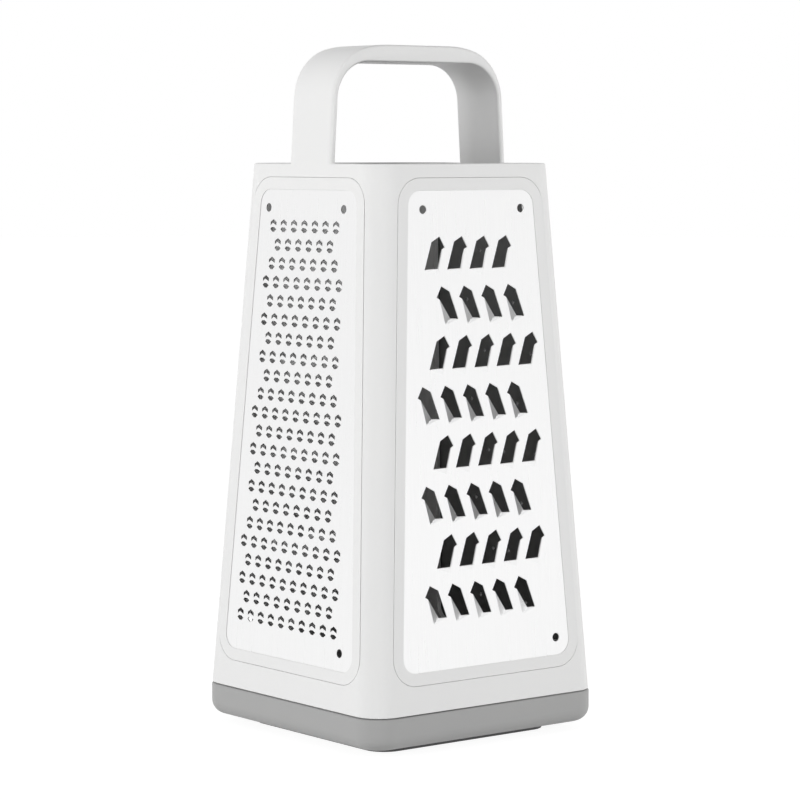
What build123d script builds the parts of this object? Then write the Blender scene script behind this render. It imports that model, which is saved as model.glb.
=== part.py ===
# Four-sided box grater: a tapered white moulding with a strap handle, four stainless steel
# grating plates held in it by frames, and a grey catch tray on a soft foot ring.
# Millimetres. +Z is up and the origin is on the ground under the middle of the grater.
# The coarse face looks to -Y, the fine face to -X, the slicer to +Y and the zester to +X.
import os
from math import atan, cos, degrees, radians, sin, tan

from build123d import *

# Heights above the ground
TRAY_Z = 3.0
TRAY_RIM_Z = 14.6
BODY_Z = 15.0
RIM_Z = 205.8
GRIP_UNDER_Z = 241.7
GRIP_TOP_Z = 247.8

# Body moulding: a square tube that narrows upwards
BODY_LOW_W = 104.0
BODY_RIM_W = 80.8
BODY_CORNER_R = 10.0
WALL = 2.8
RIM_EDGE = 0.5

# Strap handle, moulded in one with the body
STRAP_W = 24.0
STRAP_T = 2.6
STRAP_ROOT = 4.0
STRAP_INSET = 0.05
GRIP_CROWN_R = 42.0
GRIP_SHOULDER_R = 18.8
GRIP_CROWN_ANGLE = 15.0
GRIP_INNER_R = 13.5
STRAP_EDGE = 0.8

# Plate opening in its frame: v runs up the sloping face from the body's lower edge
OPENING_LOW_V = 14.2
OPENING_HIGH_V = 181.8
OPENING_LOW_W = 76.8
OPENING_HIGH_W = 56.4
OPENING_CORNER_R = 5.5
FRAME_BAND = 4.5
FRAME_GAP = 0.15
PLATE_LAP = 2.2
LEDGE_LAP = 1.0
SHEET = 0.4
PLATE_SINK = 0.6

# Catch tray and foot ring
TRAY_W = 104.5
TRAY_CORNER_R = 10.2
TRAY_BELLY_R = 5.2
TRAY_LIP = 0.5
TRAY_FLOOR = 2.6
SPIGOT_W = 97.0
SPIGOT_T = 2.0
SPIGOT_H = 5.0
SPIGOT_CORNER_R = 6.8
FOOT_W = 78.8
FOOT_BAND = 6.0
FOOT_CORNER_R = 8.0
FOOT_GROOVE = 1.0

# Teeth
PIN_HOLE_D = 2.8
PIN_HIGH_U = 22.3
PIN_HIGH_V = 175.4
PIN_LOW_U = 32.0
PIN_LOW_V = 20.5
COARSE_PITCH_U = 10.15
COARSE_PITCH_V = 17.37
COARSE_TOP_V = 165.9
COARSE_CREST = 1.6
COARSE_SHIFT_U = 0.5
FINE_PITCH_U = 6.245
FINE_PITCH_V = 6.74
FINE_TOP_V = 171.35
FINE_CREST = 0.5
FINE_SHIFT_U = -1.5
ZEST_PITCH_U = 8.8
ZEST_PITCH_V = 9.4
ZEST_TOP_V = 168.0
ZEST_HOLE = 1.2
ZEST_BASE = 3.0
ZEST_CREST = 1.0
SLICER_SLOTS = 4
SLICER_PITCH_V = 34.0
SLICER_TOP_V = 152.0
SLICER_SLOT_H = 0.4
SLICER_RAMP = 9.0
SLICER_CREST = 2.0

LEAN = degrees(atan((BODY_LOW_W - BODY_RIM_W) / 2 / (RIM_Z - BODY_Z)))
FRONT, RIGHT, BACK, LEFT = 0, 90, 180, -90


def half_width(z):
    """Distance from the middle to the body's outer faces at height z."""
    return BODY_RIM_W / 2 + (RIM_Z - z) * tan(radians(LEAN))


def face_plane(turn, depth=0.0):
    """Plane of one sloping outer face, depth mm below it: x across, y up the slope, z outwards."""
    out = Vector(0, -cos(radians(LEAN)), sin(radians(LEAN))).rotate(Axis.Z, turn)
    foot = Vector(0, -BODY_LOW_W / 2, BODY_Z).rotate(Axis.Z, turn)
    across = Vector(1, 0, 0).rotate(Axis.Z, turn)
    return Plane(origin=foot - out * depth, x_dir=across, z_dir=out)


def opening_outline(grow):
    """The plate opening's rounded trapezium, made larger all round by grow, in the sketch."""
    low, high = OPENING_LOW_V - grow, OPENING_HIGH_V + grow
    slope = (OPENING_LOW_W - OPENING_HIGH_W) / (OPENING_HIGH_V - OPENING_LOW_V)
    low_half = OPENING_LOW_W / 2 + grow + slope * grow / 2
    high_half = OPENING_HIGH_W / 2 + grow - slope * grow / 2
    with BuildSketch() as outline:
        Polygon((-low_half, low), (low_half, low), (high_half, high), (-high_half, high), align=None)
        fillet(outline.vertices(), OPENING_CORNER_R + grow)
    return outline.sketch


# The body's outer form, a frustum with rounded corners
with BuildPart() as outer_form:
    with BuildSketch(Plane.XY.offset(BODY_Z)):
        Rectangle(BODY_LOW_W, BODY_LOW_W)
    with BuildSketch(Plane.XY.offset(RIM_Z)):
        Rectangle(BODY_RIM_W, BODY_RIM_W)
    loft(ruled=True)
    upright_edges = outer_form.edges().filter_by(lambda e: abs(e.tangent_at(0).Z) > 0.5)
    fillet(upright_edges, BODY_CORNER_R)

# What the body leaves open inside, the same form one wall thickness smaller
with BuildPart() as inner_form:
    with BuildSketch(Plane.XY.offset(BODY_Z)):
        Rectangle(BODY_LOW_W - 2 * WALL, BODY_LOW_W - 2 * WALL)
    with BuildSketch(Plane.XY.offset(RIM_Z)):
        Rectangle(BODY_RIM_W - 2 * WALL, BODY_RIM_W - 2 * WALL)
    loft(ruled=True)
    upright_edges = inner_form.edges().filter_by(lambda e: abs(e.tangent_at(0).Z) > 0.5)
    fillet(upright_edges, BODY_CORNER_R - WALL)

# Strap handle: both arms carry on the slope of the body, and the grip is thicker and crowned
with BuildPart() as strap:
    with BuildSketch(Plane.XZ):
        with BuildLine():
            crown_drop = (GRIP_CROWN_R - GRIP_SHOULDER_R) * cos(radians(GRIP_CROWN_ANGLE))
            shoulder_z = GRIP_TOP_Z - GRIP_CROWN_R + crown_drop
            shoulder_end_z = shoulder_z + GRIP_SHOULDER_R * sin(radians(LEAN))
            crown_reach = (GRIP_CROWN_R - GRIP_SHOULDER_R) * sin(radians(GRIP_CROWN_ANGLE))
            shoulder_reach = GRIP_SHOULDER_R * cos(radians(LEAN))
            flat_half = half_width(shoulder_end_z) - STRAP_INSET - crown_reach - shoulder_reach
            root_z = RIM_Z - STRAP_ROOT
            top = Line((0, GRIP_TOP_Z), (flat_half, GRIP_TOP_Z))
            crown = JernArc(top @ 1, (1, 0), GRIP_CROWN_R, -GRIP_CROWN_ANGLE)
            shoulder_turn = 90 - LEAN - GRIP_CROWN_ANGLE
            shoulder = JernArc(crown @ 1, crown % 1, GRIP_SHOULDER_R, -shoulder_turn)
            outer_root = Vector(half_width(root_z) - STRAP_INSET, root_z)
            Line(shoulder @ 1, outer_root)
            inner_root = outer_root - Vector(STRAP_T, 0)
            Line(outer_root, inner_root)
            bend_end_z = GRIP_UNDER_Z - GRIP_INNER_R * (1 - sin(radians(LEAN)))
            bend_end = Vector(half_width(bend_end_z) - STRAP_INSET - STRAP_T, bend_end_z)
            Line(inner_root, bend_end)
            under_half = bend_end.X - GRIP_INNER_R * cos(radians(LEAN))
            JernArc((under_half, GRIP_UNDER_Z), (1, 0), GRIP_INNER_R, LEAN - 90)
            Line((under_half, GRIP_UNDER_Z), (0, GRIP_UNDER_Z))
            mirror(about=Plane.YZ)
        make_face()
    extrude(amount=STRAP_W / 2, both=True)
    rim_edges = strap.faces().sort_by(Axis.Y)[0].edges() + strap.faces().sort_by(Axis.Y)[-1].edges()
    long_edges = rim_edges.filter_by(lambda e: e.center().Z > root_z + 1)
    chamfer(long_edges, STRAP_EDGE)

# Body moulding: wall, four windows with a shelf round each for plate and frame, and the strap
with BuildPart() as body_shell:
    add(outer_form.part)
    add(inner_form.part, mode=Mode.SUBTRACT)
    rim = body_shell.faces().sort_by(Axis.Z)[-1]
    chamfer(rim.edges(), RIM_EDGE)
    for turn in (FRONT, RIGHT, BACK, LEFT):
        with BuildSketch(face_plane(turn)):
            add(opening_outline(FRAME_BAND))
        extrude(amount=-(PLATE_SINK + SHEET), mode=Mode.SUBTRACT)
        with BuildSketch(face_plane(turn)):
            add(opening_outline(-LEDGE_LAP))
        extrude(amount=-3 * WALL, mode=Mode.SUBTRACT)
    add(strap.part)
body_shell.part.label = "body_shell"


def plate_frame(turn):
    """Thin frame let into the body flush round one plate, with a rebate that clamps its edge."""
    with BuildPart() as frame:
        with BuildSketch(face_plane(turn, PLATE_SINK + SHEET)):
            add(opening_outline(FRAME_BAND - FRAME_GAP))
            add(opening_outline(0), mode=Mode.SUBTRACT)
        extrude(amount=PLATE_SINK + SHEET)
        with BuildSketch(face_plane(turn, PLATE_SINK + SHEET)):
            add(opening_outline(PLATE_LAP))
        extrude(amount=SHEET, mode=Mode.SUBTRACT)
    return frame.part


def place_teeth(rows, top_v, pitch_u, pitch_v, shift_u=0.0):
    """Local spots for rows of teeth, all moved by shift_u: each row is (count, half pitches)."""
    spots = []
    for row, (count, shift) in enumerate(rows):
        for i in range(count):
            u = (i - (count - 1) / 2 + shift / 2) * pitch_u + shift_u
            spots.append((u, top_v - row * pitch_v))
    return spots


def bent_sheet(*corners):
    """One flat facet of pressed sheet through three or four corners, SHEET thick downwards."""
    with BuildPart() as facet:
        outline = Face(Wire.make_polygon([Vector(*c) for c in corners], close=True))
        extrude(outline, amount=SHEET, dir=(0, 0, -1))
    return facet.part


def arrow_tooth(hand, crest_h):
    """A punched arrow with its lower corner pressed out: returns the cut outline and the scoop.

    hand is 1 for a tooth that leans like a slash and -1 for its mirror image.
    """
    apex = (0.0, 0.0)
    barb = (2.25, -3.95)
    notch = (0.95, -4.65)
    toe = (-1.3, -13.1)
    heel = (-7.2, -11.1)
    shoulder = (-3.65, -1.9)
    crest = (-2.2, -10.85)
    cut = [(hand * x, y) for x, y in (apex, barb, notch, toe, heel, shoulder)]
    low = [(hand * x, y, 0.0) for x, y in (notch, toe, heel)]
    top = (hand * crest[0], crest[1], crest_h)
    scoop = [bent_sheet(low[0], low[1], top), bent_sheet(low[1], low[2], top)]
    return cut, scoop


def blank_plate(shift_u=0.0):
    """Sketch of one plate's sheet with its three pin holes."""
    with BuildSketch() as blank:
        add(opening_outline(PLATE_LAP))
        pins = [(-PIN_HIGH_U, PIN_HIGH_V), (PIN_HIGH_U, PIN_HIGH_V), (PIN_LOW_U, PIN_LOW_V)]
        with Locations(*[(u + shift_u, v) for u, v in pins]):
            Circle(PIN_HOLE_D / 2, mode=Mode.SUBTRACT)
    return blank.sketch


# Coarse plate: eight rows of large arrow teeth that lean alternately
coarse_rows = [(4, 0), (4, 0)] + [(5, 1), (5, -1)] * 3
coarse_pitch = (COARSE_PITCH_U, COARSE_PITCH_V)
coarse_spots = place_teeth(coarse_rows, COARSE_TOP_V, *coarse_pitch, COARSE_SHIFT_U)
slash_row_v = [COARSE_TOP_V - row * COARSE_PITCH_V for row in range(0, len(coarse_rows), 2)]
slash_spots = [spot for spot in coarse_spots if spot[1] in slash_row_v]
back_spots = [spot for spot in coarse_spots if spot[1] not in slash_row_v]
slash_cut, slash_scoop = arrow_tooth(1, COARSE_CREST)
back_cut, back_scoop = arrow_tooth(-1, COARSE_CREST)
with BuildPart(face_plane(FRONT, PLATE_SINK)) as coarse_plate:
    with BuildSketch(face_plane(FRONT, PLATE_SINK)):
        add(blank_plate())
        with Locations(*slash_spots):
            Polygon(*slash_cut, align=None, mode=Mode.SUBTRACT)
        with Locations(*back_spots):
            Polygon(*back_cut, align=None, mode=Mode.SUBTRACT)
    extrude(amount=-SHEET)
    with Locations(*slash_spots):
        add(slash_scoop)
    with Locations(*back_spots):
        add(back_scoop)
coarse_plate.part.label = "coarse_plate"

# Fine plate: offset rows of small teeth, each a pointed bridge between two openings
fine_counts = [7, 6, 7, 8, 7, 8, 7, 8, 7, 8, 9, 8, 9, 8, 9, 8, 9, 10, 9, 10, 9, 10]
fine_rows = [(count, 0) for count in fine_counts]
fine_spots = place_teeth(fine_rows, FINE_TOP_V, FINE_PITCH_U, FINE_PITCH_V, FINE_SHIFT_U)
bridge_half = 1.8
fine_cut = [(0, 0), (bridge_half, -1.85), (bridge_half, -3.5), (0, -4.65)]
fine_cut += [(-bridge_half, -3.5), (-bridge_half, -1.85)]
bridge_ridge = [(0, -1.05, FINE_CREST), (0, -2.85, FINE_CREST)]
right_foot = [(bridge_half, -3.5, 0), (bridge_half, -1.85, 0)]
left_foot = [(-bridge_half, -3.5, 0), (-bridge_half, -1.85, 0)]
bridge = [bent_sheet(*bridge_ridge, *right_foot), bent_sheet(*bridge_ridge, *left_foot)]
with BuildPart(face_plane(LEFT, PLATE_SINK)) as fine_plate:
    with BuildSketch(face_plane(LEFT, PLATE_SINK)):
        add(blank_plate(FINE_SHIFT_U))
        with Locations(*fine_spots):
            Polygon(*fine_cut, align=None, mode=Mode.SUBTRACT)
    extrude(amount=-SHEET)
    with Locations(*fine_spots):
        add(bridge)
fine_plate.part.label = "fine_plate"

# Slicing plate: four wide blades, each the lower edge of a slot, pressed out with closed cheeks
slot_spots = [(0, SLICER_TOP_V - i * SLICER_PITCH_V) for i in range(SLICER_SLOTS)]
slot_half = 20.0
cheek_half = 23.0
slot_cut = [(-cheek_half, 0), (-slot_half, SLICER_SLOT_H), (slot_half, SLICER_SLOT_H)]
slot_cut += [(cheek_half, 0), (slot_half, -SLICER_RAMP), (-slot_half, -SLICER_RAMP)]
blade_l, blade_r = (-slot_half, 0, SLICER_CREST), (slot_half, 0, SLICER_CREST)
foot_l, foot_r = (-slot_half, -SLICER_RAMP, 0), (slot_half, -SLICER_RAMP, 0)
blade = [bent_sheet(blade_l, blade_r, foot_r, foot_l)]
blade += [bent_sheet(blade_l, foot_l, (-cheek_half, 0, 0))]
blade += [bent_sheet(blade_r, foot_r, (cheek_half, 0, 0))]
with BuildPart(face_plane(BACK, PLATE_SINK)) as slicing_plate:
    with BuildSketch(face_plane(BACK, PLATE_SINK)):
        add(blank_plate())
        with Locations(*slot_spots):
            Polygon(*slot_cut, align=None, mode=Mode.SUBTRACT)
    extrude(amount=-SHEET)
    with Locations(*slot_spots):
        add(blade)
slicing_plate.part.label = "slicing_plate"

# Zesting plate: offset rows of small square holes, punched outwards so that their edges stand up
zest_counts = [5, 6, 5, 6, 5, 6, 5, 6, 7, 6, 7, 6, 7, 6, 7, 6]
zest_rows = [(count, 0) for count in zest_counts]
zest_spots = place_teeth(zest_rows, ZEST_TOP_V, ZEST_PITCH_U, ZEST_PITCH_V)
with BuildPart() as burr:
    with BuildSketch():
        Rectangle(ZEST_BASE, ZEST_BASE, rotation=45)
    with BuildSketch(Plane.XY.offset(ZEST_CREST)):
        Rectangle(ZEST_HOLE, ZEST_HOLE, rotation=45)
    loft(ruled=True)
    with BuildSketch():
        Rectangle(ZEST_HOLE, ZEST_HOLE, rotation=45)
    extrude(amount=ZEST_CREST, mode=Mode.SUBTRACT)
with BuildPart(face_plane(RIGHT, PLATE_SINK)) as zesting_plate:
    with BuildSketch(face_plane(RIGHT, PLATE_SINK)):
        add(blank_plate())
        with Locations(*zest_spots):
            Rectangle(ZEST_HOLE, ZEST_HOLE, rotation=45, mode=Mode.SUBTRACT)
    extrude(amount=-SHEET)
    with Locations(*zest_spots):
        add(burr.part)
zesting_plate.part.label = "zesting_plate"

# Catch tray: shallow, with a rounded belly, a spigot that the body sits round, and a foot groove
with BuildPart() as base_tray:
    with BuildSketch(Plane.XY.offset(TRAY_Z)):
        RectangleRounded(TRAY_W, TRAY_W, TRAY_CORNER_R)
    extrude(amount=TRAY_RIM_Z - TRAY_Z)
    fillet(base_tray.faces().sort_by(Axis.Z)[0].edges(), TRAY_BELLY_R)
    chamfer(base_tray.faces().sort_by(Axis.Z)[-1].edges(), TRAY_LIP)
    with BuildSketch(Plane.XY.offset(TRAY_RIM_Z)):
        RectangleRounded(SPIGOT_W, SPIGOT_W, SPIGOT_CORNER_R)
    extrude(amount=SPIGOT_H)
    with BuildSketch(Plane.XY.offset(TRAY_Z + TRAY_FLOOR)):
        hollow_w = SPIGOT_W - 2 * SPIGOT_T
        RectangleRounded(hollow_w, hollow_w, SPIGOT_CORNER_R - SPIGOT_T)
    extrude(amount=TRAY_RIM_Z + SPIGOT_H - TRAY_Z - TRAY_FLOOR, mode=Mode.SUBTRACT)
    with BuildSketch(Plane.XY.offset(TRAY_Z)):
        RectangleRounded(FOOT_W, FOOT_W, FOOT_CORNER_R)
        foot_hole_w = FOOT_W - 2 * FOOT_BAND
        RectangleRounded(foot_hole_w, foot_hole_w, FOOT_CORNER_R - FOOT_BAND, mode=Mode.SUBTRACT)
    extrude(amount=FOOT_GROOVE, mode=Mode.SUBTRACT)
base_tray.part.label = "base_tray"

# Foot ring: soft non-slip ring pressed into the groove under the tray
with BuildPart() as foot_ring:
    with BuildSketch():
        RectangleRounded(FOOT_W, FOOT_W, FOOT_CORNER_R)
        RectangleRounded(foot_hole_w, foot_hole_w, FOOT_CORNER_R - FOOT_BAND, mode=Mode.SUBTRACT)
    extrude(amount=TRAY_Z + FOOT_GROOVE)
foot_ring.part.label = "foot_ring"

os.makedirs("parts", exist_ok=True)
export_step(body_shell.part, "parts/body_shell.step")
export_step(coarse_plate.part, "parts/coarse_plate.step")
export_step(fine_plate.part, "parts/fine_plate.step")
export_step(slicing_plate.part, "parts/slicing_plate.step")
export_step(zesting_plate.part, "parts/zesting_plate.step")
export_step(base_tray.part, "parts/base_tray.step")
export_step(foot_ring.part, "parts/foot_ring.step")
for name, turn in (("coarse", FRONT), ("slicing", BACK), ("fine", LEFT), ("zesting", RIGHT)):
    frame = plate_frame(turn)
    frame.label = name + "_frame"
    export_step(frame, "parts/" + name + "_frame.step")
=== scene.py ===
import math

import bmesh
import bpy
from mathutils import Matrix, Vector
from mathutils.geometry import delaunay_2d_cdt


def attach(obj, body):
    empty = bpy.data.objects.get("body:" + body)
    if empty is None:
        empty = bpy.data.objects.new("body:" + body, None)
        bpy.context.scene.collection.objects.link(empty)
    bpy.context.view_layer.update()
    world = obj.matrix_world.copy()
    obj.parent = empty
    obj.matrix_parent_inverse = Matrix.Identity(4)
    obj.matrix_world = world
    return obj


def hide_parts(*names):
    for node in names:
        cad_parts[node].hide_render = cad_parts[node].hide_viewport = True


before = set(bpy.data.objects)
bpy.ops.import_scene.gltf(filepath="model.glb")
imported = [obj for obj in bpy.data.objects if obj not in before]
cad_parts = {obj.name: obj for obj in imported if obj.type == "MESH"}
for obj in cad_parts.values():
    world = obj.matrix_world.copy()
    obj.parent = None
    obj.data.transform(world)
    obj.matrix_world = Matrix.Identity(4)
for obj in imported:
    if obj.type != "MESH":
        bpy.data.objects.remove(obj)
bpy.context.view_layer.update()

# Foot ring: a soft thermoplastic elastomer square pressed into a groove under the tray, so that the
# grater stays put on a wet worktop. Its skin is matt from the mould and picks up a little dust.

# A millimetre in metres, and the distance, in mm, up to which two points of a CAD mesh are one.
MM = 0.001
WELD = 0.002


def linear(code):
    """The linear colour of an sRGB hex value."""
    parts = [int(code[i : i + 2], 16) / 255 for i in (1, 3, 5)]
    return [c / 12.92 if c <= 0.04045 else ((c + 0.055) / 1.055) ** 2.4 for c in parts] + [1.0]


def add_node(tree, kind, inputs=(), **settings):
    """Adds one shader node; inputs maps a socket to a value or to the output that feeds it."""
    node = tree.nodes.new(kind)
    for key, value in settings.items():
        setattr(node, key, value)
    for socket, value in dict(inputs).items():
        if isinstance(value, bpy.types.NodeSocket):
            tree.links.new(value, node.inputs[socket])
        else:
            node.inputs[socket].default_value = value
    return node


def new_material(name):
    """An empty node material and the shader that its surface takes."""
    made = bpy.data.materials.new(name)
    made.use_nodes = True
    tree = made.node_tree
    tree.nodes.clear()
    shader = add_node(tree, "ShaderNodeBsdfPrincipled")
    output = add_node(tree, "ShaderNodeOutputMaterial")
    tree.links.new(shader.outputs["BSDF"], output.inputs["Surface"])
    return made, tree, shader


def finish_cad(name, material, crease=24):
    """Gives a CAD node its material and shades it smooth, save at edges of over crease degrees."""
    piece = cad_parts[name]
    piece.data.materials.clear()
    piece.data.materials.append(material)
    piece.data.polygons.foreach_set("material_index", [0] * len(piece.data.polygons))
    piece.data.polygons.foreach_set("use_smooth", [True] * len(piece.data.polygons))
    weld = piece.modifiers.new("weld", "WELD")
    weld.merge_threshold = WELD * MM
    split = piece.modifiers.new("edges", "EDGE_SPLIT")
    split.split_angle = math.radians(crease)
    flat = piece.modifiers.new("flats", "WEIGHTED_NORMAL")
    flat.weight = 100
    return piece


# Styrenic elastomer, moulded: matt, with a fine dull grain that keeps it from shining at all.
RUBBER_GRAIN = 0.5
RUBBER_GRAIN_DEPTH = 0.05
soft_foot, tree, shader = new_material("styrenic_elastomer_moulded")
coords = add_node(tree, "ShaderNodeTexCoord")
grain = add_node(
    tree, "ShaderNodeTexNoise",
    {"Vector": coords.outputs["Object"], "Scale": 1000 / RUBBER_GRAIN, "Detail": 3.0},
)
mottle = add_node(
    tree, "ShaderNodeMix",
    {"Factor": grain.outputs["Fac"], "A": linear("#5E5E5E"), "B": linear("#6A6A6A")},
    data_type="RGBA",
)
bump = add_node(
    tree, "ShaderNodeBump",
    {"Height": grain.outputs["Fac"], "Strength": 0.35, "Distance": RUBBER_GRAIN_DEPTH * MM},
)
tree.links.new(mottle.outputs["Result"], shader.inputs["Base Color"])
tree.links.new(bump.outputs["Normal"], shader.inputs["Normal"])
shader.inputs["Roughness"].default_value = 0.75
shader.inputs["IOR"].default_value = 1.5
finish_cad("foot_ring", soft_foot)

# Catch tray: a shallow grey polypropylene moulding with a rounded belly. A spigot on its rim locates
# the body, which simply lifts off it so that the grated food can be tipped out.


def moulded_skin(name, dark, light, satin, ior, flow_mm, spark_mm, spark_depth_mm, strength):
    """A plastic as it leaves the mould, with the texture of its spark-eroded tool.

    Its tone drifts with the melt's flow, and so does its roughness, over the range that is satin.
    """
    made, tree, shader = new_material(name)
    coords = add_node(tree, "ShaderNodeTexCoord")
    flow = add_node(
        tree, "ShaderNodeTexNoise",
        {"Vector": coords.outputs["Object"], "Scale": 1000 / flow_mm, "Detail": 2.0},
    )
    tone = add_node(
        tree, "ShaderNodeMix",
        {"Factor": flow.outputs["Fac"], "A": linear(dark), "B": linear(light)},
        data_type="RGBA",
    )
    spark = add_node(
        tree, "ShaderNodeTexNoise",
        {
            "Vector": coords.outputs["Object"],
            "Scale": 1000 / spark_mm,
            "Detail": 4.0,
            "Roughness": 0.6,
        },
    )
    bump = add_node(
        tree, "ShaderNodeBump",
        {"Height": spark.outputs["Fac"], "Strength": strength, "Distance": spark_depth_mm * MM},
    )
    gloss = add_node(
        tree, "ShaderNodeMapRange",
        {"Value": flow.outputs["Fac"], "To Min": satin[0], "To Max": satin[1]},
    )
    tree.links.new(tone.outputs["Result"], shader.inputs["Base Color"])
    tree.links.new(bump.outputs["Normal"], shader.inputs["Normal"])
    tree.links.new(gloss.outputs["Result"], shader.inputs["Roughness"])
    shader.inputs["IOR"].default_value = ior
    return made


# Polypropylene, injection moulded in a lightly spark-eroded tool: an even satin skin, slightly waxy.
grey_plastic = moulded_skin(
    "polypropylene_moulded_grey", dark="#A3A3A3", light="#A9A9A8", satin=(0.46, 0.54), ior=1.49,
    flow_mm=45, spark_mm=0.35, spark_depth_mm=0.03, strength=0.25,
)
finish_cad("base_tray", grey_plastic, crease=50)

# Body and handle: one white ABS moulding, a tapered square tube with a window in each side and a
# strap handle that rises flush out of two of its walls. Each window has a shelf for its plate.

BODY_HALF = 52.0
RIM_HALF = 40.4
BODY_Z = 15.0
RIM_Z = 205.8
# Inner faces deeper in the wall than the first value, in mm, get painted shade from the second slot.
CORE_DEPTH = 2.4
CORE_SLOT = 1

# ABS, injection moulded: bright, opaque, satin, with a trace of flow and a very fine tool texture.
white_plastic = moulded_skin(
    "abs_moulded_white", dark="#E7E7E7", light="#EBEBEA", satin=(0.42, 0.5), ior=1.54,
    flow_mm=60, spark_mm=0.3, spark_depth_mm=0.02, strength=0.2,
)
shell = finish_cad("body_shell", white_plastic, crease=50)


def dull_finish(name, dark, light, cloud_mm, detail, roughness):
    """A surface left as it comes, of one dull gloss, clouded between two close tones."""
    made, tree, shader = new_material(name)
    coords = add_node(tree, "ShaderNodeTexCoord")
    cloud = add_node(
        tree, "ShaderNodeTexNoise",
        {"Vector": coords.outputs["Object"], "Scale": 1000 / cloud_mm, "Detail": detail},
    )
    tone = add_node(
        tree, "ShaderNodeMix",
        {"Factor": cloud.outputs["Fac"], "A": linear(dark), "B": linear(light)},
        data_type="RGBA",
    )
    tree.links.new(tone.outputs["Result"], shader.inputs["Base Color"])
    shader.inputs["Roughness"].default_value = roughness
    return made, shader


# The same ABS on the core side of the mould, left rough and painted greyer: painted shade inside the
# tube.
core_side, shader = dull_finish(
    "abs_rough_painted_shade_inside", "#B6B6B6", "#BEBEBD", cloud_mm=8, detail=3.0, roughness=0.7
)
shader.inputs["IOR"].default_value = 1.54
shell.data.materials.append(core_side)

# The painted shade takes the faces deeper in the wall than its shelves, below the rim, facing
# inwards.
for polygon in shell.data.polygons:
    middle = shell.matrix_world @ polygon.center / MM
    facing = shell.matrix_world.to_3x3() @ polygon.normal
    wall_half = BODY_HALF - (BODY_HALF - RIM_HALF) * (middle.z - BODY_Z) / (RIM_Z - BODY_Z)
    deep = wall_half - max(abs(middle.x), abs(middle.y))
    inwards = facing.x * middle.x + facing.y * middle.y < 0
    if deep > CORE_DEPTH and middle.z < RIM_Z and inwards:
        polygon.material_index = CORE_SLOT

# Coarse plate: 0.4 mm of stainless steel, blanked with arrow-shaped openings whose lower
# corner is pressed out into a sharp scoop. It is clamped between the body and its frame.

# The plate's border lies PLATE_SINK mm below the body's face, and its field FIELD_RISE mm higher.
LEAN = math.atan((BODY_HALF - RIM_HALF) / (RIM_Z - BODY_Z))
FRONT, RIGHT, BACK, LEFT = 0, 90, 180, -90
PLATE_SINK = 0.6
FIELD_RISE = 0.45
SHEET = 0.4

OPENING_LOW_V = 14.2
OPENING_HIGH_V = 181.8
OPENING_LOW_W = 76.8
OPENING_HIGH_W = 56.4
OPENING_CORNER_R = 5.5
CORNER_STEPS = 8


def face_matrix(turn):
    """Where one plate's field lies on the body: across, up the slope and outwards, from its foot."""
    spin = Matrix.Rotation(math.radians(turn), 3, "Z")
    out = spin @ Vector((0, -math.cos(LEAN), math.sin(LEAN)))
    across = spin @ Vector((1, 0, 0))
    up = out.cross(across)
    foot = spin @ Vector((0, -BODY_HALF, BODY_Z)) - out * (PLATE_SINK - FIELD_RISE)
    place = Matrix((across, up, out)).transposed().to_4x4()
    place.translation = foot
    return place


def plate_outline(lap):
    """The rounded trapezium of the plate opening, larger all round by lap, in mm."""
    low, high, radius = OPENING_LOW_V - lap, OPENING_HIGH_V + lap, OPENING_CORNER_R + lap
    slope = (OPENING_LOW_W - OPENING_HIGH_W) / (OPENING_HIGH_V - OPENING_LOW_V) / 2
    low_half = OPENING_LOW_W / 2 + lap + slope * lap
    high_half = OPENING_HIGH_W / 2 + lap - slope * lap
    corners = [(-low_half, low), (low_half, low), (high_half, high), (-high_half, high)]
    outline = []
    for i, corner in enumerate(corners):
        here = Vector(corner)
        back = (Vector(corners[i - 1]) - here).normalized()
        ahead = (Vector(corners[(i + 1) % 4]) - here).normalized()
        half_angle = back.angle(ahead) / 2
        reach = radius / math.tan(half_angle)
        centre = here + (back + ahead).normalized() * radius / math.sin(half_angle)
        start, end = here + back * reach - centre, here + ahead * reach - centre
        sweep = start.angle_signed(end)
        for step in range(CORNER_STEPS + 1):
            spot = centre + Matrix.Rotation(-sweep * step / CORNER_STEPS, 2) @ start
            outline.append((spot.x, spot.y))
    return outline


def inside(point, polygon):
    """Whether a point lies in a polygon, by counting the edges that it is left of."""
    x, y = point
    found = False
    for (x1, y1), (x2, y2) in zip(polygon, polygon[1:] + polygon[:1]):
        if (y1 > y) != (y2 > y) and x < (x2 - x1) * (y - y1) / (y2 - y1) + x1:
            found = not found
    return found


def stepped(corners, step, closed=True):
    """Corners (u, v, raised), with points about a step apart on the edges raised at both ends."""
    ends = corners[1:] + corners[:1] if closed else corners[1:]
    points = []
    for (x1, y1, r1), (x2, y2, r2) in zip(corners, ends):
        count = max(1, round(math.hypot(x2 - x1, y2 - y1) / step)) if r1 and r2 else 1
        points.append((x1, y1, r1))
        for i in range(1, count):
            t = i / count
            points.append((x1 + (x2 - x1) * t, y1 + (y2 - y1) * t, True))
    if not closed:
        points.append(corners[-1])
    return points


def line_distance(point, start, end):
    """How far a point lies from the line through two others."""
    (x1, y1), (x2, y2) = start, end
    length = math.hypot(x2 - x1, y2 - y1)
    return abs((x2 - x1) * (point[1] - y1) - (y2 - y1) * (point[0] - x1)) / length


# Where two facets of a tooth meet, the sheet bends round this share of the crest's height.
CREASE_ROUND = 0.1


def lift(point, form):
    """How far the press raises the sheet: nothing on a fold, the crest where all reaches are met."""
    shares = [
        min(1.0, line_distance(point, start, end) / reach) for start, end, reach in form["folds"]
    ]
    share = 1.0
    for one in sorted(shares, reverse=True):
        gap = max(0.0, CREASE_ROUND - abs(share - one)) / CREASE_ROUND
        share = max(0.0, min(share, one) - CREASE_ROUND / 4 * gap * gap)
    return form["crest"] * (share * (2 - share) if form["dome"] else share)


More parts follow.
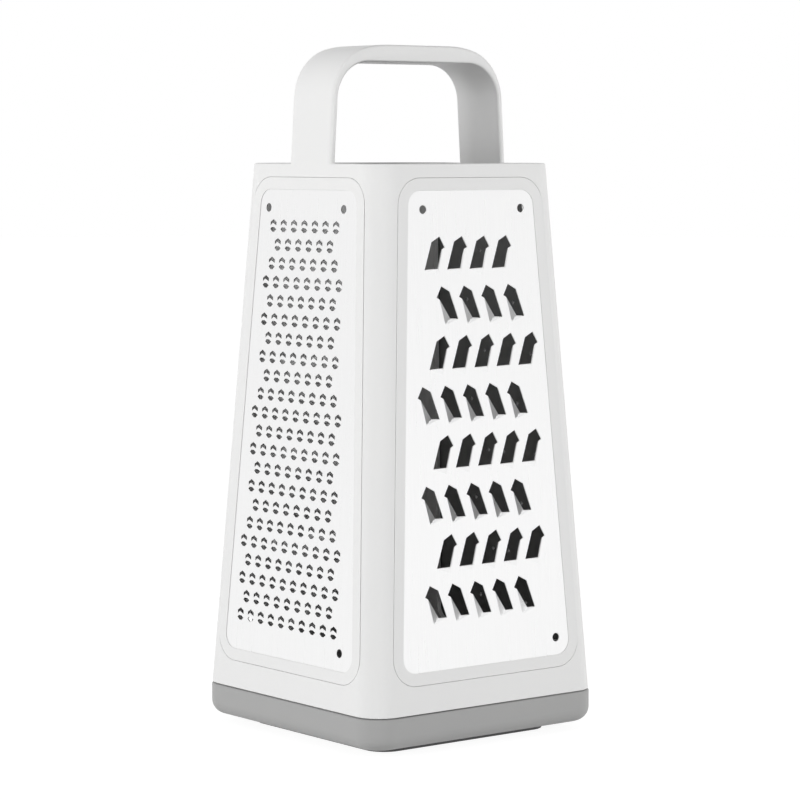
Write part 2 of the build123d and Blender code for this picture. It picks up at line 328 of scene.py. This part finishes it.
# The sheet's edge lies PLATE_LAP mm under the frame. The step up to its field is pressed between
# STEP_OUT mm outside the opening's edge and STEP_IN mm inside it. A scoop has points of its own
# where it stands higher than LEAST_RISE of its crest.
PLATE_LAP = 2.2
STEP_OUT = 0.1
STEP_IN = 0.03
PIN_HOLE_R = 1.55
PIN_SIDES = 24
LEAST_RISE = 0.12


def sheet_plan(teeth, pins):
    """One plate laid out flat: its points, their heights, the edges that join them and its holes."""
    points, heights, edges, holes = [], [], [], []

    def lay(path, closed):
        """Adds a path of points to the plan, joined in order and, if closed, back to its start."""
        start = len(points)
        for x, y, h in path:
            points.append(Vector((x, y)))
            heights.append(h)
        edges.extend((start + i, start + i + 1) for i in range(len(path) - 1))
        if closed:
            edges.append((len(points) - 1, start))

    for lap, height in ((PLATE_LAP, -FIELD_RISE), (STEP_OUT, -FIELD_RISE), (-STEP_IN, 0.0)):
        lay([(x, y, height) for x, y in plate_outline(lap)], True)
    for u, v in pins:
        turns = [math.tau * i / PIN_SIDES for i in range(PIN_SIDES)]
        ring = [(u + PIN_HOLE_R * math.cos(t), v + PIN_HOLE_R * math.sin(t)) for t in turns]
        lay([(x, y, 0.0) for x, y in ring], True)
        holes.append(ring)
    for u, v, hand, form in teeth:
        step = form["step"]
        for loop in form["loops"]:
            path = [
                (u + hand * x, v + y, lift((x, y), form) if up else 0.0)
                for x, y, up in stepped(loop, step)
            ]
            lay(path, True)
            holes.append([(x, y) for x, y, h in path])
        scoop = form["scoop"]
        low_x, high_x = min(x for x, y in scoop), max(x for x, y in scoop)
        low_y, high_y = min(y for x, y in scoop), max(y for x, y in scoop)
        for i in range(1, int((high_x - low_x) / step) + 1):
            for j in range(1, int((high_y - low_y) / step) + 1):
                x, y = low_x + i * step, low_y + (j - 0.5 * (i % 2)) * step
                height = lift((x, y), form)
                if inside((x, y), scoop) and height > LEAST_RISE * form["crest"]:
                    lay([(u + hand * x, v + y, height)], False)
        for (x1, y1), (x2, y2), reach in form["folds"]:
            fold = stepped([(x1, y1, True), (x2, y2, True)], step, closed=False)
            lay([(u + hand * x, v + y, 0.0) for x, y, up in fold], False)
    return points, heights, edges, holes


# The side of the squares, in mm, by which the holes near a point are found.
CELL = 8


def on_sheet(verts, faces, holes):
    """The triangles of a plan that lie on the sheet and in none of its holes."""
    outline = plate_outline(PLATE_LAP)
    cells = {}
    for hole in holes:
        xs, ys = [x for x, y in hole], [y for x, y in hole]
        for i in range(int(min(xs) // CELL), int(max(xs) // CELL) + 1):
            for j in range(int(min(ys) // CELL), int(max(ys) // CELL) + 1):
                cells.setdefault((i, j), []).append(hole)
    kept = []
    for face in faces:
        middle = sum((verts[i] for i in face), Vector((0, 0))) / 3
        if not inside(middle, outline):
            continue
        near = cells.get((int(middle.x // CELL), int(middle.y // CELL)), [])
        if not any(inside(middle, hole) for hole in near):
            kept.append(tuple(face))
    return kept


def open_edges(verts, kept):
    """The sheet's open edges, and for each point on one the way that leads off the sheet."""
    third = {}
    for a, b, c in kept:
        third.update({(a, b): c, (b, c): a, (c, a): b})
    rims = [(a, b) for a, b in third if (b, a) not in third]
    ways = {}
    for a, b in rims:
        along = verts[b] - verts[a]
        away = Vector((along.y, -along.x)).normalized()
        if away.dot(verts[third[a, b]] - verts[a]) > 0:
            away.negate()
        for i in (a, b):
            ways[i] = ways.get(i, Vector((0, 0))) + away
    return rims, ways


# The two sides of a sheet are its material slots. Points of a plan up to MERGE mm apart are one. A
# bevel is full where its edge is raised by FULL_BEVEL mm, and shading is smooth up to SHARP_ANGLE.
# The second slot is the inner side, whose tone is painted shade, and on the slicer painted light.
BRUSHED, UNBRUSHED = 0, 1
MERGE = 1e-4
FULL_BEVEL = 0.4
SHARP_ANGLE = 22


def pressed_plate(
    name, turn, teeth, pins, cad_node, back, flat_back=False, edge_slot=BRUSHED, grind=0.0
):
    """A plate with its openings cut and its teeth pressed out, as one closed sheet of real thickness.

    teeth holds (u, v, hand, form), u across and v up the plate: form has loops, folds, scoop,
    crest, dome and step, in mm, and a hand of -1 mirrors it.
    A flat back leaves the teeth solid, edge_slot is the material of the cut edges, and grind is
    the width of the bevel ground on them where they are raised.
    """
    points, heights, edges, holes = sheet_plan(teeth, pins)
    verts, _, faces, sources, _, _ = delaunay_2d_cdt(points, edges, [], 0, MERGE)
    kept = on_sheet(verts, faces, holes)
    rims, ways = open_edges(verts, kept)
    place = face_matrix(turn)
    mesh = bmesh.new()
    upper, lower = [], []
    for i, spot in enumerate(verts):
        high = max((heights[k] for k in sources[i]), default=0.0)
        upper.append(mesh.verts.new(place @ Vector((spot.x, spot.y, high)) * MM))
        under = min(high, 0.0) - SHEET if flat_back else high - SHEET
        ground = spot
        if i in ways:
            ground = spot + ways[i].normalized() * grind * min(1.0, max(0.0, high) / FULL_BEVEL)
        lower.append(mesh.verts.new(place @ Vector((ground.x, ground.y, under)) * MM))
    for a, b, c in kept:
        mesh.faces.new((upper[a], upper[b], upper[c]))
        mesh.faces.new((lower[c], lower[b], lower[a])).material_index = UNBRUSHED
    for a, b in rims:
        wall = mesh.faces.new((upper[b], upper[a], lower[a], lower[b]))
        wall.material_index = edge_slot
    loose = [vert for vert in mesh.verts if not vert.link_faces]
    bmesh.ops.delete(mesh, geom=loose, context="VERTS")
    bmesh.ops.recalc_face_normals(mesh, faces=mesh.faces)
    to_plate = place.inverted()
    layer = mesh.loops.layers.uv.new("plate_metres")
    for face in mesh.faces:
        for corner in face.loops:
            local = to_plate @ (corner.vert.co / MM)
            corner[layer].uv = (local.x * MM, local.y * MM)
    data = bpy.data.meshes.new(name)
    mesh.to_mesh(data)
    mesh.free()
    data.shade_smooth()
    data.set_sharp_from_angle(angle=math.radians(SHARP_ANGLE))
    piece = bpy.data.objects.new(name, data)
    bpy.context.scene.collection.objects.link(piece)
    data.materials.append(stainless)
    data.materials.append(back)
    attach(piece, "grater")
    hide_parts(cad_node)


# Stainless steel, 18/10 sheet: bright-rolled and finely brushed along the plate. The real lines are
# 0.1 mm apart; they are drawn 0.5 mm apart and very faint, so that the eye gets a soft, bright metal.
LINE_GAP = 0.5
LINE_LENGTH = 30
LINE_DEPTH = 0.02
stainless, tree, shader = new_material("stainless_sheet_finely_brushed")
lines = add_node(tree, "ShaderNodeUVMap", uv_map="plate_metres")
stretch = add_node(
    tree, "ShaderNodeMapping",
    {"Vector": lines.outputs["UV"], "Scale": (1000 / LINE_GAP, 1000 / LINE_LENGTH, 1.0)},
)
brush = add_node(
    tree, "ShaderNodeTexNoise",
    {"Vector": stretch.outputs["Vector"], "Scale": 1.0, "Detail": 3.0},
)
tone = add_node(
    tree, "ShaderNodeMix",
    {"Factor": brush.outputs["Fac"], "A": linear("#F1F1F1"), "B": linear("#F8F8F8")},
    data_type="RGBA",
)
bump = add_node(
    tree, "ShaderNodeBump",
    {"Height": brush.outputs["Fac"], "Strength": 0.05, "Distance": LINE_DEPTH * MM},
)
gloss = add_node(
    tree, "ShaderNodeMapRange",
    {"Value": brush.outputs["Fac"], "To Min": 0.24, "To Max": 0.34},
)
tree.links.new(tone.outputs["Result"], shader.inputs["Base Color"])
tree.links.new(bump.outputs["Normal"], shader.inputs["Normal"])
tree.links.new(gloss.outputs["Result"], shader.inputs["Roughness"])
shader.inputs["Metallic"].default_value = 1.0


def mill_back(name, dark, light, roughness):
    """The side of the sheet that faces the inside, cloudy from the pickling bath; its tone is painted
    shade, and on the slicer painted light.
    """
    made, shader = dull_finish(
        name, dark, light, cloud_mm=6, detail=4.0, roughness=roughness
    )
    shader.inputs["Metallic"].default_value = 1.0
    return made


# The back is pickled, not brushed: dull, and painted darker as the shade that the openings show.
stainless_back = mill_back("stainless_sheet_pickled_back_painted_shade", "#868686", "#929292", 0.55)


def tooth_rows(rows, top_v, pitch_u, pitch_v, shift_u, form, leaning=False):
    """Rows of teeth from the top down, each given as its count and its own shift in half pitches.

    All are moved across by shift_u. Leaning teeth are mirrored in every second row.
    """
    teeth = []
    for row, (count, shift) in enumerate(rows):
        hand = -1 if leaning and row % 2 else 1
        for i in range(count):
            u = (i - (count - 1) / 2 + shift / 2) * pitch_u + shift_u
            teeth.append((u, top_v - row * pitch_v, hand, form))
    return teeth


# The arrow opening and scoop of a tooth that leans like a slash, in mm from its point.
apex, barb, notch, toe = (0.0, 0.0), (2.25, -3.95), (0.95, -4.65), (-1.3, -13.65)
tip, heel, shoulder = (-2.2, -11.4), (-7.2, -11.65), (-3.65, -1.9)
arrow = [(*apex, False), (*barb, False), (*notch, True)]
arrow += [(*tip, True), (*heel, True), (*shoulder, False)]
arrow_form = {
    "loops": [arrow],
    "folds": [
        (notch, toe, line_distance(tip, notch, toe)),
        (toe, heel, line_distance(tip, toe, heel)),
    ],
    "scoop": [notch, toe, heel, tip],
    "crest": 1.6,
    "dome": False,
    "step": 0.55,
}
# The middles of the three pin holes, and the width of the bevel ground on a cutting edge.
PINS = [(-22.0, 175.2), (22.6, 175.2), (32.0, 20.5)]
BEVEL = 0.15
coarse_rows = [(4, -0.05), (4, -0.05)] + [(5, 1.07), (5, -1.04)] * 3
coarse_teeth = tooth_rows(
    coarse_rows, top_v=165.75, pitch_u=10.15, pitch_v=17.37, shift_u=0.45, form=arrow_form,
    leaning=True,
)
pressed_plate(
    "coarse_sheet", FRONT, coarse_teeth, PINS, "coarse_plate", stainless_back, grind=BEVEL
)

# Fine plate: offset rows of small teeth, each a pointed bridge of sheet raised between a chevron
# opening above it and a small kite-shaped one below.

FINE_SHIFT = -1.5
fine_counts = [7, 6, 7, 8, 7, 8, 7, 8, 7, 8, 9, 8, 9, 8, 9, 8, 9, 10, 9, 10, 9, 10]
# The corners of a fine tooth's bridge, in mm from its middle, and the reach up to its crown.
BRIDGE_REACH = 1.8
peak, high_l, high_r = (0.0, 1.05), (-1.8, 0.1), (1.8, 0.1)
low_l, low_r = (-1.85, -1.25), (1.85, -1.25)
chevron = [(0.0, 2.35, False), (1.8, 1.35, False), (*high_r, True)]
chevron += [(*peak, True), (*high_l, True), (-1.8, 1.35, False)]
kite = [(*low_l, True), (-0.8, -0.5, True), (0.8, -0.5, True)]
kite += [(*low_r, True), (0.6, -2.2, False), (-0.6, -2.2, False)]
fine_form = {
    "loops": [chevron, kite],
    "folds": [(high_r, low_r, BRIDGE_REACH), (high_l, low_l, BRIDGE_REACH)],
    "scoop": [high_r, peak, high_l, low_l, (0.0, -0.5), low_r],
    "crest": 0.25,
    "dome": True,
    "step": 0.5,
}
fine_rows = [(count, 0) for count in fine_counts]
fine_teeth = tooth_rows(
    fine_rows, top_v=168.7, pitch_u=6.245, pitch_v=6.74, shift_u=FINE_SHIFT, form=fine_form
)
fine_pins = [(u + FINE_SHIFT, v) for u, v in PINS]
pressed_plate(
    "fine_sheet", LEFT, fine_teeth, fine_pins, "fine_plate", stainless_back, edge_slot=UNBRUSHED
)

# Slicing plate: four wide slots whose lower lip is pressed out into a ground blade, with closed
# cheeks at its ends, for slices of even thickness.

SLOTS = 4
SLOT_H = 0.4
SLOT_HALF = 20.0
CHEEK_HALF = 23.0
CHEEK_REACH = 2.85
RAMP = 9.0
blade_foot_l, blade_foot_r = (-SLOT_HALF, -RAMP), (SLOT_HALF, -RAMP)
cheek_l, cheek_r = (-CHEEK_HALF, 0.0), (CHEEK_HALF, 0.0)
slot = [(*cheek_l, True), (-SLOT_HALF, 0.0, True), (SLOT_HALF, 0.0, True), (*cheek_r, True)]
slot += [(SLOT_HALF, SLOT_H, False), (-SLOT_HALF, SLOT_H, False)]
slicing_form = {
    "loops": [slot],
    "folds": [
        (blade_foot_l, blade_foot_r, RAMP),
        (cheek_r, blade_foot_r, CHEEK_REACH),
        (cheek_l, blade_foot_l, CHEEK_REACH),
    ],
    "scoop": [cheek_l, blade_foot_l, blade_foot_r, cheek_r],
    "crest": 2.0,
    "dome": False,
    "step": 1.0,
}
slicing_teeth = tooth_rows(
    [(1, 0)] * SLOTS, top_v=152.0, pitch_u=0.0, pitch_v=34.0, shift_u=0.0, form=slicing_form
)
# The slicer's back is matt and painted light, for the light that falls on it through the coarse
# openings.
bright_back = mill_back("stainless_sheet_matt_back_painted_light", "#F4F4F4", "#FAFAFA", 0.9)
pressed_plate(
    "slicing_sheet", BACK, slicing_teeth, PINS, "slicing_plate", bright_back, grind=BEVEL
)

# Zesting plate: offset rows of small square holes, punched from behind so that their torn edges stand
# up as sharp burrs, for zest and hard cheese.

BURR_FOLD = 0.884


def diamond(reach):
    """The corners of a square that stands on one of them, reach mm from its middle."""
    return [(0.0, reach), (reach, 0.0), (0.0, -reach), (-reach, 0.0)]


burr_hole = diamond(0.85)
burr_foot = diamond(2.1)
burr_form = {
    "loops": [[(x, y, True) for x, y in burr_hole]],
    "folds": [
        (start, end, BURR_FOLD) for start, end in zip(burr_foot, burr_foot[1:] + burr_foot[:1])
    ],
    "scoop": burr_foot,
    "crest": 0.95,
    "dome": False,
    "step": 0.4,
}
zest_counts = [5, 6, 5, 6, 5, 6, 5, 6, 7, 6, 7, 6, 7, 6, 7, 6]
zest_rows = [(count, 0) for count in zest_counts]
zest_teeth = tooth_rows(
    zest_rows, top_v=168.0, pitch_u=8.8, pitch_v=9.4, shift_u=0.0, form=burr_form
)
pressed_plate(
    "zesting_sheet", RIGHT, zest_teeth, PINS, "zesting_plate", stainless_back,
    flat_back=True, edge_slot=UNBRUSHED,
)

# Frames: four flat rings of the same white ABS, each let in flush round its plate, whose edge it
# clamps on the shelf of the body's window. Their seam is the fine line round each plate.

for name in ("coarse_frame", "fine_frame", "slicing_frame", "zesting_frame"):
    finish_cad(name, white_plastic)

# The set: a pale floor, a white surround, a large soft light at each side, and the camera where the
# photographer stood, 1.1 m off at about the height of the rim. It is measured in metres.

# The share of the floor's own white that the camera sees, and that gloss sees. The rest of what they
# see, and all the light that it throws on the grater, is that of matt paper.
FLOOR_TO_CAMERA = 0.7
FLOOR_IN_GLOSS = 0.65
floor_mesh = bmesh.new()
bmesh.ops.create_circle(floor_mesh, cap_ends=True, segments=96, radius=6.0)
floor_data = bpy.data.meshes.new("floor")
floor_mesh.to_mesh(floor_data)
floor_mesh.free()
floor = bpy.data.objects.new("floor", floor_data)
bpy.context.scene.collection.objects.link(floor)
paper = bpy.data.materials.new("paper_sweep_white")
paper.use_nodes = True
tree = paper.node_tree
tree.nodes.clear()
matt = add_node(tree, "ShaderNodeBsdfDiffuse", {"Color": linear("#E6E6E6")})
glow = add_node(tree, "ShaderNodeEmission", {"Strength": 1.3})
rays = add_node(tree, "ShaderNodeLightPath")
straight = add_node(
    tree, "ShaderNodeMath",
    {0: rays.outputs["Is Camera Ray"], 1: rays.outputs["Is Transmission Ray"]},
    operation="MAXIMUM",
)
mirrored = add_node(
    tree, "ShaderNodeMath", {0: rays.outputs["Is Glossy Ray"], 1: FLOOR_IN_GLOSS},
    operation="MULTIPLY",
)
share = add_node(
    tree, "ShaderNodeMath",
    {0: straight.outputs["Value"], 1: FLOOR_TO_CAMERA, 2: mirrored.outputs["Value"]},
    operation="MULTIPLY_ADD",
)
blend = add_node(
    tree, "ShaderNodeMixShader",
    {"Fac": share.outputs["Value"], 1: matt.outputs["BSDF"], 2: glow.outputs["Emission"]},
)
add_node(tree, "ShaderNodeOutputMaterial", {"Surface": blend.outputs["Shader"]})
floor_data.materials.append(paper)

# The surround is seen as plain white, straight or in gloss, and gives a weaker light than it shows.
world = bpy.data.worlds.new("studio")
bpy.context.scene.world = world
world.use_nodes = True
tree = world.node_tree
tree.nodes.clear()
rays = add_node(tree, "ShaderNodeLightPath")
seen = add_node(
    tree, "ShaderNodeMath",
    {0: rays.outputs["Is Camera Ray"], 1: rays.outputs["Is Glossy Ray"]},
    operation="MAXIMUM",
)
seen = add_node(
    tree, "ShaderNodeMath",
    {0: seen.outputs["Value"], 1: rays.outputs["Is Transmission Ray"]},
    operation="MAXIMUM",
)
fill = add_node(tree, "ShaderNodeBackground", {"Color": linear("#FFFFFF"), "Strength": 0.4})
white = add_node(tree, "ShaderNodeBackground", {"Color": linear("#FFFFFF"), "Strength": 1.0})
blend = add_node(
    tree, "ShaderNodeMixShader",
    {"Fac": seen.outputs["Value"], 1: fill.outputs["Background"], 2: white.outputs["Background"]},
)
add_node(tree, "ShaderNodeOutputWorld", {"Surface": blend.outputs["Shader"]})

LIGHT_AIM = Vector((0, 0, 0.12))


def soft_light(name, place, size, power):
    """A square soft light that looks at the middle of the grater and isn't seen in gloss."""
    data = bpy.data.lights.new(name, "AREA")
    data.size = size
    data.energy = power
    light = bpy.data.objects.new(name, data)
    light.location = place
    light.rotation_euler = (LIGHT_AIM - Vector(place)).to_track_quat("-Z", "Y").to_euler()
    light.visible_glossy = False
    bpy.context.scene.collection.objects.link(light)


soft_light("left_softbox", place=(-1.95, 0.2, 0.35), size=1.2, power=29.0)
soft_light("right_softbox", place=(0.9, -1.85, 0.4), size=1.2, power=24.0)

# A black felt card lies on the floor beside the camera's line, out of the picture. It is seen only in
# gloss, where it draws the grey flanks of the coarse teeth.
CARD_Z = 0.002
card_mesh = bmesh.new()
card_corners = [(-0.10, -0.075), (-0.06, -0.145), (-0.40, -0.46), (-0.56, -0.26)]
card_mesh.faces.new([card_mesh.verts.new((x, y, CARD_Z)) for x, y in card_corners])
card_data = bpy.data.meshes.new("felt_card")
card_mesh.to_mesh(card_data)
card_mesh.free()
card = bpy.data.objects.new("felt_card", card_data)
bpy.context.scene.collection.objects.link(card)
card.visible_camera = False
card.visible_diffuse = False
card.visible_transmission = False
card.visible_shadow = False
felt, _ = dull_finish(
    "wool_felt_black", "#161616", "#202020", cloud_mm=1.5, detail=3.0, roughness=0.95
)
card_data.materials.append(felt)

CAMERA_DIP = 4.82
CAMERA_TURN = 38.22
lens = bpy.data.cameras.new("camera")
lens.sensor_width = 36.0
lens.lens = 134.9
camera = bpy.data.objects.new("camera", lens)
camera.location = (-0.6741, -0.8565, 0.2115)
camera.rotation_euler = (math.radians(90 - CAMERA_DIP), 0.0, math.radians(-CAMERA_TURN))
bpy.context.scene.collection.objects.link(camera)
bpy.context.scene.camera = camera
bpy.context.scene.view_settings.view_transform = "Standard"
